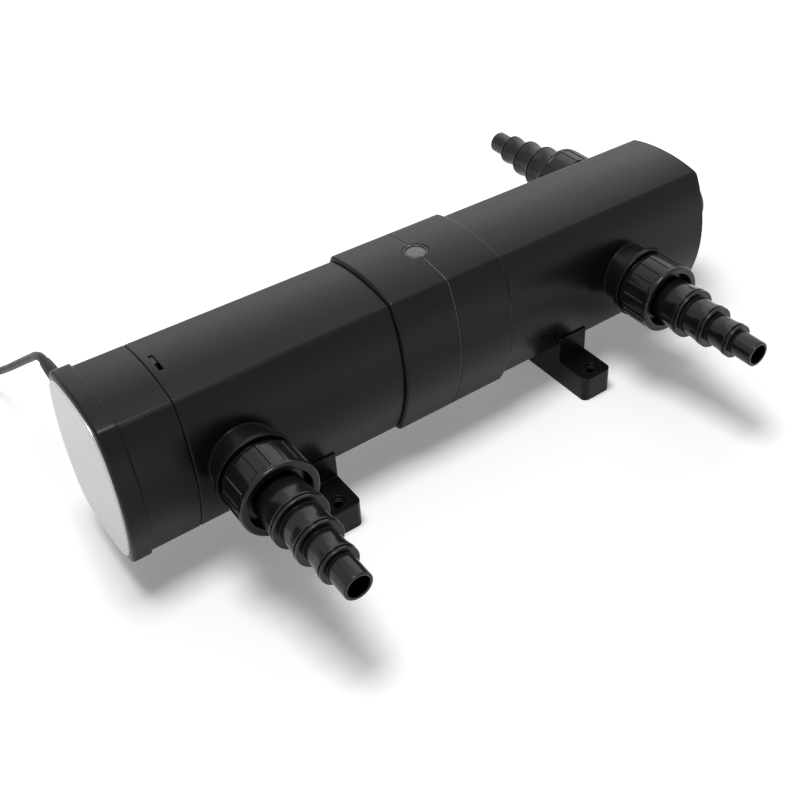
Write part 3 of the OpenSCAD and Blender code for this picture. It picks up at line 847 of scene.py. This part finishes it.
@dataclass(frozen=True)
class Port:
    """One hose connection: a ribbed union nut that holds a stepped hose tail on its boss."""

    name: str
    side: Side
    hoses: tuple[float, ...] = (19.0 * MM, 15.8 * MM, 12.5 * MM, 10.0 * MM)
    ring_out: float = 1.15 * MM
    ring_w: float = 4.6 * MM
    root_r: float = 17.6 * MM
    bore_r: float = 7.7 * MM
    wide_bore_r: float = 12.0 * MM
    flange_t: float = 1.2 * MM
    first_ring: float = 32.8 * MM
    step_l: float = 22.0 * MM
    nut_r: float = 28.0 * MM
    nut_bore_r: float = 24.8 * MM
    nut_lip_r: float = 22.6 * MM
    nut_lip_t: float = 2.5 * MM
    nut_edge: float = 0.9 * MM
    nut_shoulder: float = 2.2 * MM
    nut_bore_land: float = 0.2 * MM
    nut_lip_edge: float = 0.7 * MM
    nut_lip_root: float = 0.3 * MM
    panels: int = 18
    panel_depth: float = 0.75 * MM
    panel_share: float = 0.66
    panel_wall_share: float = 0.05
    panel_margin: float = 5.2 * MM
    panel_fade: float = 1.0 * MM
    panel_reach: float = 1.0 * MM
    panel_start: float = 2 * MM
    panel_ends: Pair = (0.5 * MM, 1.1 * MM)
    flare_l: float = 11 * MM
    groove_depth: float = 1.2 * MM
    groove: Pair = (3.2 * MM, 2.5 * MM)
    groove_land: float = 0.2 * MM
    groove_edge: float = 0.45 * MM
    groove_root: float = 0.1 * MM
    bead_drop: float = 0.05 * MM
    bead_edges: Pair = (0.5 * MM, 0.95 * MM)
    bore_taper: Pair = (42.8 * MM, 48.8 * MM)
    bore_blend: float = 2 * MM
    bore_edge: float = 0.6 * MM
    flange_gap: float = 0.3 * MM
    flange_edge: float = 0.4 * MM
    flange_root: float = 0.6 * MM
    flare_blend: float = 2 * MM
    ring_ramp: Pair = (0.25 * MM, 1 * MM)
    ring_edge: float = 0.3 * MM
    step_inset: float = 0.3 * MM
    step_root: float = 0.35 * MM
    tip_land: float = 2 * MM
    tip_edge: float = 1.1 * MM
    fillet_steps: int = 5
    tail_steps: int = 112

    def axis(self, node: str) -> Axis:
        """The port's axis.

        Args:
            node: The node whose end nearest the tank is the axis's start.

        Returns:
            The axis, pointing away from the tank.
        """
        low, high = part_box(node)
        start = low[1] if self.side is Side.BACK else high[1]
        middle = node_centre(node)
        return Axis(Vector((middle.x, start, middle.z)), Vector((0, self.side.value, 0)))

    def length(self, node: str) -> float:
        """How long a node is along the port's axis."""
        low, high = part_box(node)
        return high[1] - low[1]

    def build(self) -> None:
        """Builds the nut and the hose tail, and dresses the seal behind them."""
        self._nut()
        self._tail()
        keep(f"{self.name}_seal", Finish.SEAL_RUBBER)

    def _nut(self) -> None:
        """Makes the union nut with its recessed grip panels."""
        node = f"{self.name}_union_nut"
        long = self.length(node)
        recess_end = long - self.panel_margin
        lip, root = long - self.nut_lip_t, self.nut_lip_root
        outline = [(self.nut_bore_r, 0.0, 0.0), (self.nut_bore_r + self.nut_bore_land, 0.0, 0.0),
                   (self.nut_r, 0.0, self.nut_edge)]
        outline += [(self.nut_r, d, 0.0) for d in (self.panel_start, 0.5 * long, recess_end)]
        outline += [(self.nut_r, recess_end + past, 0.0) for past in self.panel_ends]
        outline += [(self.nut_r, long, self.nut_shoulder), (self.nut_lip_r, long, self.nut_lip_edge),
                    (self.nut_lip_r, lip, root), (self.nut_bore_r, lip, root), (self.nut_bore_r, 0.0, 0.0)]
        profile = rounded_profile(outline, self.fillet_steps)

        def relief(angle: float, distance: float, radius: float) -> float:
            """Sinks the grip panels between the ribs.

            Args:
                angle: The angle about the nut's axis.
                distance: The distance along the axis.
                radius: The radius of the plain nut there.

            Returns:
                The radius with the panels.
            """
            if radius < self.nut_r - self.panel_reach or distance > recess_end + self.panel_fade:
                return radius
            phase = (angle * self.panels / (2 * math.pi)) % 1.0
            past = (abs(phase - 0.5) * 2 - self.panel_share) / (2 * self.panel_wall_share)
            inside = 1.0 - min(1.0, max(0.0, past))
            fade = min(1.0, max(0.0, (recess_end + self.panel_fade - distance) / self.panel_fade))
            return radius - self.panel_depth * inside * fade

        share, soft = self.panel_share / 2, self.panel_wall_share
        marks = (0.0, 0.5 - share - soft, 0.5 - share, 0.5 - share / 3, 0.5 + share / 3, 0.5 + share,
                 0.5 + share + soft)
        angles = [2 * math.pi * (k + m) / self.panels for k in range(self.panels) for m in marks]
        piece = lathe(f"{self.name}_nut_ribbed", self.axis(node), profile, angles, relief)
        stand_for(piece, f"{self.name}_nut", "fitting_plastic", Finish.FITTING_BLACK, node)

    def _tail(self) -> None:
        """Makes the hose tail: four hose sizes, each but the last ending in a double-edged ring."""
        node = f"{self.name}_hose_tail"
        tip = self.length(node)
        flange_r, flange_t = self.nut_bore_r - self.flange_gap, self.flange_t
        outline = [(self.wide_bore_r, 0.0, 0.0), (flange_r, 0.0, self.flange_edge),
                   (flange_r, flange_t, self.flange_edge), (self.root_r, flange_t, self.flange_root)]
        (far, near), (ramp_drop, ramp_l), (bead_near, bead_far) = self.groove, self.ring_ramp, self.bead_edges
        end = flange_t
        for i, r in enumerate(self.hoses[:-1]):
            end = self.first_ring + i * self.step_l
            ring = r + self.ring_out
            sunk, bead = ring - self.groove_depth, ring - self.bead_drop
            outline += [(r, end - self.flare_l, self.flare_blend),
                        (ring - ramp_drop, end - self.ring_w - ramp_l, 0.0),
                        (ring, end - self.ring_w, self.ring_edge),
                        (ring, end - far - self.groove_land, self.groove_edge),
                        (sunk, end - far, self.groove_root), (sunk, end - near, self.groove_root),
                        (bead, end - near + self.groove_land, bead_near), (bead, end, bead_far),
                        (self.hoses[i + 1] - self.step_inset, end, self.step_root)]
        last = self.hoses[-1]
        outline += [(last, end + self.tip_land, 0.0), (last, tip, self.tip_edge),
                    (self.bore_r, tip, self.bore_edge), (self.bore_r, self.bore_taper[1], self.bore_blend),
                    (self.wide_bore_r, self.bore_taper[0], self.bore_blend), (self.wide_bore_r, 0.0, 0.0)]
        profile = rounded_profile(outline, self.fillet_steps)
        piece = lathe(f"{self.name}_tail_stepped", self.axis(node), profile, self.tail_steps)
        stand_for(piece, f"{self.name}_tail", "fitting_plastic", Finish.FITTING_BLACK, node)


@dataclass(frozen=True)
class Tank:
    """The two tank halves with their collar, lens, feet and the support inside."""

    section: Section = Section()
    crease: float = 1.2 * MM
    collar_t: float = 3.0 * MM
    collar_gap: float = 0.1 * MM
    collar_rim: float = 2.4 * MM
    seam_rim: float = 0.6 * MM
    lens_r: float = 7.2 * MM
    lens_dome: float = 0.5 * MM
    lens_hole_gap: float = 0.15 * MM
    ring_inner: float = 7.3 * MM
    ring_edges: tuple[float, ...] = (0.2 * MM, 0.8 * MM, 0.6 * MM)
    ear_r: float = 1.15 * MM
    ear_out: float = 0.3 * MM
    ear_edge: float = 0.4 * MM
    cutter_past: float = 2 * MM
    rim_steps: int = 8
    seam_steps: int = 4
    dome_steps: int = 6

    def build(self) -> None:
        """Dresses the tank's nodes and builds its lens."""
        for name in ("tank_left", "tank_right", "saddle_foot_left", "saddle_foot_right"):
            keep(name, Finish.TANK_BLACK)
        self._collar("collar_left", 1.0)
        self._collar("collar_right", -1.0)
        keep("seam_gasket", Finish.GASKET_GREY)
        keep("sleeve_support", Finish.NATURAL_PLASTIC)
        self._lens()

    def _collar(self, node: str, inward: float) -> None:
        """Makes a half of the collar, with a well rounded free end and a hole round the lens.

        Args:
            node: The CAD node that it stands for.
            inward: The direction along X from its free end to the seam.
        """
        low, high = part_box(node)
        long, middle = high[0] - low[0], node_centre(node)
        free = low[0] if inward > 0 else high[0]
        thick, rim, seam = self.collar_t, self.collar_rim, self.seam_rim
        outline = [(0.0, self.collar_gap)]
        outline += [(rim * (1 - math.cos(a)), thick - rim * (1 - math.sin(a)))
                    for a in quarter_turn(self.rim_steps)]
        outline += [(long - seam * (1 - math.sin(a)), thick - seam * (1 - math.cos(a)))
                    for a in quarter_turn(self.seam_steps)]
        outline.append((long, self.collar_gap))
        rings = [(x * inward, self.section.loop(off, self.crease + off)) for x, off in outline]
        collar = loft(f"{node}_rounded", rings, Vector((free, middle.y, middle.z)), capped=False)
        low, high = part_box("lens_ring")
        past = self.cutter_past
        hole = Axis(Vector((*node_centre("lens_ring").xy, low[2] - past)), Vector((0, 0, 1)))
        r, deep = (high[0] - low[0]) / 2 + self.lens_hole_gap, high[2] - low[2] + 2 * past
        cut_away(collar, lathe("lens_hole_cutter", hole, [(0.0, 0.0), (r, 0.0), (r, deep), (0.0, deep)], 72))
        stand_for(collar, "tank", "black_plastic", Finish.COLLAR_BLACK, node)

    def _lens(self) -> None:
        """Makes the slightly domed sight lens and its rounded ring."""
        low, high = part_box("inspection_lens")
        middle = node_centre("inspection_lens")
        axis = Axis(Vector((middle.x, middle.y, low[2])), Vector((0, 0, 1)))
        tall = high[2] - low[2]
        dome = [(self.lens_r * math.cos(a), tall - self.lens_dome * (1 - math.sin(a)))
                for a in quarter_turn(self.dome_steps)]
        dome[-1] = (0.0, tall)
        profile = [(0.0, 0.0), (self.lens_r, 0.0), *dome]
        lens = lathe("lens_domed", axis, profile, 64)
        stand_for(lens, "tank", "lens_grey", Finish.LENS_GREY, "inspection_lens")
        low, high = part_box("lens_ring")
        axis = Axis(Vector((middle.x, middle.y, low[2])), Vector((0, 0, 1)))
        tall, outer = high[2] - low[2], (high[0] - low[0]) / 2
        rim = tall - self.ear_out
        foot, out_edge, in_edge = self.ring_edges
        outline = [(self.ring_inner, 0.0, 0.0), (outer, 0.0, foot), (outer, rim, out_edge),
                   (self.ring_inner, rim, in_edge), (self.ring_inner, 0.0, 0.0)]
        ring = lathe("lens_ring_rounded", axis, rounded_profile(outline, 5), 72)
        stand_for(ring, "tank", "fitting_plastic", Finish.FITTING_BLACK, "lens_ring")
        for name, side in (("lens_ear_front", -1), ("lens_ear_back", 1)):
            across = middle.y + side * (self.ring_inner + outer) / 2
            at = Axis(Vector((middle.x, across, low[2])), Vector((0, 0, 1)))
            ear = rounded_profile([(0.0, 0.0, 0.0), (self.ear_r, 0.0, 0.0),
                                   (self.ear_r, tall, self.ear_edge), (0.0, tall, 0.0)])
            stand_for(lathe(name, at, ear, 24), "tank", "lens_grey", Finish.LENS_GREY)


@dataclass(frozen=True)
class LampHead:
    """The lamp head that twists off: housing, cover, bare end plate, ballast, lamp and sleeve."""

    section: Section = Section()
    plate_corner: float = 27.0 * MM
    plate_inset: float = 1.0 * MM
    cover_step: float = 2.0 * MM
    cover_rim: float = 2.6 * MM
    cover_wall: float = 3.4 * MM
    cover_crease: float = 5.0 * MM
    cover_lip: float = 0.3 * MM
    plate_edge: float = 0.9 * MM
    rim_steps: int = 8
    plate_steps: int = 4

    def build(self) -> None:
        """Dresses the lamp head's nodes and builds its end plate."""
        finishes = {
            "lamp_head_housing": Finish.TANK_BLACK,
            "lock_lug": Finish.LUG_GREY, "head_seal": Finish.SEAL_RUBBER,
            "cover_screws": Finish.STEEL, "ballast": Finish.WHITE_PLASTIC,
            "terminal_block": Finish.WHITE_PLASTIC, "lamp_socket": Finish.WHITE_PLASTIC,
            "lamp_contacts": Finish.BRASS, "lamp_base": Finish.WHITE_PLASTIC,
            "uvc_lamp": Finish.LAMP_GLASS, "quartz_sleeve": Finish.QUARTZ,
            "sleeve_nut": Finish.FITTING_BLACK, "sleeve_seal": Finish.SILICONE,
        }
        for name, finish in finishes.items():
            keep(name, finish)
        self._cover()
        self._plate()

    def _cover(self) -> None:
        """Makes the end cover: a cap with a rounded rim and softened creases, open to the housing."""
        low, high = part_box("end_cover")
        middle = node_centre("end_cover")
        long, step, rim = high[0] - low[0], self.cover_step, self.cover_rim
        inner, lip = step - self.cover_wall, self.cover_lip
        rings = [(rim * (1 - math.cos(a)), step - rim * (1 - math.sin(a)))
                 for a in quarter_turn(self.rim_steps)]
        rings += [(long - lip, step), (long, step - lip), (long, inner), (self.cover_wall, inner)]
        loops = [(x, self.section.loop(off, self.cover_crease + off)) for x, off in rings]
        cover = loft("end_cover_rounded", loops, Vector((low[0], middle.y, middle.z)))
        stand_for(cover, "lamp_head", "black_plastic", Finish.TANK_BLACK, "end_cover")

    def _plate(self) -> None:
        """Makes the bare silver plate with a rounded rim."""
        low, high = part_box("label_plate")
        thick = high[0] - low[0]
        middle = node_centre("label_plate")
        centre = Vector((low[0], middle.y, middle.z))
        rings = []
        for a in quarter_turn(self.plate_steps):
            off = -self.plate_inset - self.plate_edge * (1 - math.sin(a))
            x = self.plate_edge * (1 - math.cos(a))
            rings.append((x, self.section.loop(off, self.plate_corner + off)))
        rings.append((thick, self.section.loop(-self.plate_inset, self.plate_corner - self.plate_inset)))
        plate = loft("end_plate_bare", rings, centre)
        stand_for(plate, "lamp_head", "label_silver", Finish.LABEL_SILVER, "label_plate")


@dataclass(frozen=True)
class DrainEnd:
    """The drain cap and its seal."""

    def build(self) -> None:
        """Dresses the drain's nodes."""
        keep("drain_cap", Finish.FITTING_BLACK)
        keep("drain_seal", Finish.SEAL_RUBBER)


@dataclass(frozen=True)
class MainsCord:
    """The mains cord: down from the lamp head, wound into a coil behind it, and into its plug."""

    radius: float = 3.0 * MM
    coil_x: float = -354 * MM
    coil_y: float = 284 * MM
    coil_low: float = 4 * MM
    coil_high: float = 10 * MM
    outer_turn: float = 45 * MM
    pitch: float = 6 * MM
    start_angle: float = 45.0
    turns: float = 6.375
    steps_per_turn: int = 24
    layer_steps: int = 3
    side_step: Pair = (0.66, 0.90)
    climb: Pair = (3.08, 3.40)
    tie_t: float = 1.0 * MM
    tie_w: float = 5 * MM
    tie_angles: tuple[float, ...] = (100.0, 280.0)
    tie_slack: float = 0.3 * MM
    tie_steps: int = 28
    tie_squareness: float = 5.0
    plug_shape: tuple[Point, ...] = (
        (0, 0, 0), (3.7, 0, 0.5), (5.6, 18, 3), (11, 25.5, 3), (16.6, 31.5, 2), (19, 37.5, 2), (19, 49, 0),
        (18.4, 49.4, 0), (18.4, 56, 1.2), (0, 56, 0))
    pin_sleeve: float = 0.15 * MM
    pin_sleeve_ends: Pair = (0.52, 0.54)
    pin_dome: float = 1.8 * MM
    relief_taper: tuple[Pair, ...] = (
        (50.0, 4.5), (56.0, 4.5), (60.0, 4.4), (64.0, 4.2), (68.0, 3.95), (70.8, 3.75))
    lead: tuple[Point, ...] = (
        (-268, 71, 128), (-268, 77, 127.5), (-268, 84, 125), (-268, 92, 120.5), (-268, 101, 114.5),
        (-268.5, 111, 107), (-269, 125, 97), (-270, 140, 86), (-271, 155, 75), (-272, 172, 62.5),
        (-273, 190, 49.5), (-275, 207, 37.5), (-277, 222, 27.5), (-280, 237, 18), (-284, 251, 11),
        (-289, 264, 6.5), (-295, 277, 4), (-303, 291, 3), (-312, 304, 3.3))
    tail: tuple[Point, ...] = ((-399, 274, 11), (-399, 264, 14), (-399, 255, 17), (-399, 247, 19),
                               (-399, 243, 19))

    @staticmethod
    def _eased(value: float, low: float, high: float) -> float:
        """A smooth step from 0 at low to 1 at high."""
        t = min(1.0, max(0.0, (value - low) / (high - low)))
        return t * t * (3 - 2 * t)

    def _coil_point(self, turn: float) -> Vector:
        """A point of the coil's centre line.

        Args:
            turn: How many turns lie before it.

        Returns:
            The point. The turns step inward on the ground, then climb, then step outward on top.
        """
        start, end = self.side_step
        inward = sum(self._eased(turn, k + start, k + end) for k in range(self.layer_steps))
        above = turn - self.layer_steps
        outward = sum(self._eased(above, k + start, k + end) for k in range(self.layer_steps))
        radius = self.outer_turn - self.pitch * (inward - outward)
        height = self.coil_low + (self.coil_high - self.coil_low) * self._eased(turn, *self.climb)
        angle = math.radians(self.start_angle) + 2 * math.pi * turn
        return Vector((self.coil_x + radius * math.cos(angle), self.coil_y + radius * math.sin(angle),
                       height))

    def route(self) -> list[Vector]:
        """Lays out the whole cord.

        Returns:
            The points that it follows, from the lamp head to its plug.
        """
        points = [Vector(p) * MM for p in self.lead]
        count = round(self.turns * self.steps_per_turn)
        points += [self._coil_point(self.turns * k / count) for k in range(count + 1)]
        return points + [Vector(p) * MM for p in self.tail]

    def build(self) -> None:
        points = self.route()
        cord = round_curve("mains_cord", [(p, self.radius) for p in points])
        stand_for(cord, "lamp_head", "cord_rubber", Finish.CORD_RUBBER, "power_cord", "cord_coil", "cord_end")
        plug, pins, ties = self._plug(), self._pins(), self._ties()
        self._relief()
        2 * self.radius

    def _relief(self) -> None:
        """Makes the tapered strain relief round the cord's exit."""
        middle = node_centre("strain_relief")
        points = [(Vector((middle.x, y * MM, middle.z)), r * MM) for y, r in self.relief_taper]
        piece = round_curve("strain_relief_tapered", points)
        stand_for(piece, "lamp_head", "cord_rubber", Finish.CORD_RUBBER, "strain_relief")

    def _plug(self) -> bpy.types.Object:
        """Makes the moulded plug body, which lies along -Y and widens from the cord to its face.

        Returns:
            The plug.
        """
        low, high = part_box("plug_body")
        middle = node_centre("plug_body")
        axis = Axis(Vector((middle.x, high[1], middle.z)), Vector((0, -1, 0)))
        outline = [(r * MM, d * MM, fillet * MM) for r, d, fillet in self.plug_shape]
        piece = lathe("plug_moulded", axis, rounded_profile(outline, 5), 72)
        return stand_for(piece, "lamp_head", "cord_rubber", Finish.CORD_RUBBER, "plug_body")

    def _pins(self) -> bpy.types.Object:
        """Makes the two round pins with domed ends, as one piece.

        Returns:
            The pins.
        """
        low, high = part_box("plug_pins")
        middle = node_centre("plug_pins")
        long, r = high[1] - low[1], (high[2] - low[2]) / 2
        neck = r - self.pin_sleeve
        sleeve_end, full = (share * long for share in self.pin_sleeve_ends)
        outline = [(0.0, 0.0, 0.0), (neck, 0.0, 0.0), (neck, sleeve_end, 0.0), (r, full, 0.0),
                   (r, long, self.pin_dome), (0.0, long, 0.0)]
        profile = rounded_profile(outline, 5)
        axes = [Axis(Vector((x, high[1], middle.z)), Vector((0, -1, 0))) for x in (low[0] + r, high[0] - r)]
        pins = [lathe("plug_pins_round", axis, profile, 32) for axis in axes]
        with bpy.context.temp_override(active_object=pins[0], selected_editable_objects=pins):
            bpy.ops.object.join()
        return stand_for(pins[0], "lamp_head", "brass", Finish.BRASS, "plug_pins")

    def _ties(self) -> bpy.types.Object:
        """Makes the two bands that hold the coil, as one piece.

        Returns:
            The bands.
        """
        low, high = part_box("cord_ties")
        half_w = 2 * self.pitch + self.tie_slack
        top = high[2]
        vertices: list[Point] = []
        faces: list[Sequence[int]] = []
        loops = self.tie_steps
        mean = self.outer_turn - 1.5 * self.pitch
        for degrees in self.tie_angles:
            angle = math.radians(degrees)
            out = Vector((math.cos(angle), math.sin(angle), 0))
            side = Vector((-out.y, out.x, 0))
            base = Vector((self.coil_x, self.coil_y, top / 2)) + out * mean
            first = len(vertices)
            for k in range(loops):
                a = 2 * math.pi * k / loops
                for grow, w in ((0.0, -1), (0.0, 1), (self.tie_t, 1), (self.tie_t, -1)):
                    half_h = top / 2 - self.tie_t + grow
                    reach = self._superellipse(a, half_w + grow, half_h, self.tie_squareness)
                    p = base + out * reach[0] + Vector((0, 0, reach[1])) + side * (w * self.tie_w / 2)
                    vertices.append(tuple(p))
            for k in range(loops):
                m = (k + 1) % loops
                for j in range(4):
                    n = (j + 1) % 4
                    faces.append((first + 4 * k + j, first + 4 * m + j, first + 4 * m + n, first + 4 * k + n))
        piece = mesh_piece("cord_ties_bands", vertices, faces)
        return stand_for(piece, "lamp_head", "cord_rubber", Finish.CORD_RUBBER, "cord_ties")

    @staticmethod
    def _superellipse(angle: float, a: float, b: float, power: float) -> Pair:
        """A point of a rounded rectangle.

        Args:
            angle: The angle about its middle.
            a: Half its width.
            b: Half its height.
            power: How square it is; 2 is an ellipse.

        Returns:
            The point, across and up.
        """
        c, s = math.cos(angle), math.sin(angle)
        r = (abs(c) ** power + abs(s) ** power) ** (-1 / power)
        return (a * r * c, b * r * s)


# ---- studio -------------------------------------------------------------------------------------


@dataclass(frozen=True)
class Softbox:
    """A rectangular studio light."""

    name: str
    at: Point
    aim: Point
    size: Pair
    watts: float

    def build(self) -> None:
        """Hangs the light and points it."""
        data = bpy.data.lights.new(self.name, "AREA")
        data.shape, data.size, data.size_y, data.energy = "RECTANGLE", *self.size, self.watts
        lamp = bpy.data.objects.new(self.name, data)
        bpy.context.scene.collection.objects.link(lamp)
        lamp.location = self.at
        lamp.rotation_mode = "QUATERNION"
        lamp.rotation_quaternion = (Vector(self.aim) - Vector(self.at)).to_track_quat("-Z", "Y")


@dataclass(frozen=True)
class Studio:
    """A pale floor, soft lights, a plain world and the camera."""

    camera_at: Point = (-0.394, -0.5688, 0.592)
    azimuth: float = -38.52
    elevation: float = 36.17
    lens: float = 50.15
    shift: Pair = (-0.120, -0.109)
    sensor_w: float = 36.0
    clip: Pair = (0.01, 50.0)
    world_strength: float = 0.06
    floor_colour: Colour = (0.86, 0.86, 0.86)
    floor_roughness: float = 0.7
    floor_specular: float = 0.2
    floor_glow: float = 0.25
    floor_reach: float = 30.0
    fade_scale: Point = (0.55, 1.0, 1.0)
    fade: Pair = (0.20, 0.46)
    lights: tuple[Softbox, ...] = (
        Softbox("key", (-0.28, -0.08, 1.65), (0.0, 0.0, 0.05), (0.55, 0.55), 20.0),
        Softbox("overhead", (0.0, 0.35, 1.8), (0.0, 0.0, 0.05), (1.8, 1.2), 6.0),
        Softbox("back", (1.0, 1.6, 1.35), (0.0, 0.0, 0.05), (2.2, 1.4), 9.8))

    def camera(self) -> None:
        """Makes the camera."""
        data = bpy.data.cameras.new("camera")
        data.lens, data.sensor_width = self.lens, self.sensor_w
        data.shift_x, data.shift_y = self.shift
        data.clip_start, data.clip_end = self.clip
        camera = bpy.data.objects.new("camera", data)
        bpy.context.scene.collection.objects.link(camera)
        a, e = math.radians(self.azimuth), math.radians(self.elevation)
        back = Vector((math.sin(a) * math.cos(e), -math.cos(a) * math.cos(e), math.sin(e)))
        camera.location = self.camera_at
        camera.rotation_mode = "QUATERNION"
        camera.rotation_quaternion = (-back).to_track_quat("-Z", "Y")
        bpy.context.scene.camera = camera
        LOG.info("camera stands at %s", self.camera_at)

    def build(self) -> None:
        """Makes the floor, the lights and the world, and sets plain viewing."""
        for light in self.lights:
            light.build()
        self._floor()
        self._world()
        bpy.context.scene.view_settings.view_transform = "Standard"

    def _floor(self) -> None:
        """Makes the pale floor. Its glow is faint near the object, so that the shadow stays."""
        size = self.floor_reach
        corners = [(-size, -size, 0), (size, -size, 0), (size, size, 0), (-size, size, 0)]
        floor = mesh_piece("floor", corners, [(0, 1, 2, 3)])
        g = Graph.of_material("floor_pale")
        spread = {0: g.stretched(self.fade_scale)}
        reach = g.node("ShaderNodeVectorMath", {"operation": "LENGTH"}, spread, "Value")
        far = reach.over(*self.fade)
        lift = g.background_rays() * (self.floor_glow + far * (1.0 - self.floor_glow))
        glow = g.blend(lift, (0.0, 0.0, 0.0), (1.0, 1.0, 1.0))
        values = {"Base Color": (*self.floor_colour, 1.0), "Roughness": self.floor_roughness,
                  "Specular IOR Level": self.floor_specular, "Emission Color": glow,
                  "Emission Strength": 1.0}
        floor.data.materials.append(g.finish(values))

    def _world(self) -> None:
        """Makes a dim world that is white where it is seen, directly, in metal or through glass."""
        world = bpy.data.worlds.new("studio")
        bpy.context.scene.world = world
        g = Graph(world)
        dim, white = (g.node("ShaderNodeBackground", None, {"Color": WHITE, "Strength": strength})
                      for strength in (self.world_strength, 1.0))
        g.end_in(g.node("ShaderNodeMixShader", None, {0: g.background_rays(), 1: dim, 2: white}))


def main() -> None:
    """Builds the clarifier and its studio."""
    logging.basicConfig(level=logging.INFO, format="%(name)s: %(message)s")
    studio = Studio()
    studio.camera()
    MainsCord().build()
    Tank().build()
    LampHead().build()
    DrainEnd().build()
    for port in (Port("inlet", Side.FRONT), Port("front_outlet", Side.FRONT), Port("back_outlet", Side.BACK)):
        port.build()
    studio.build()


if __name__ == "__main__":
    main()
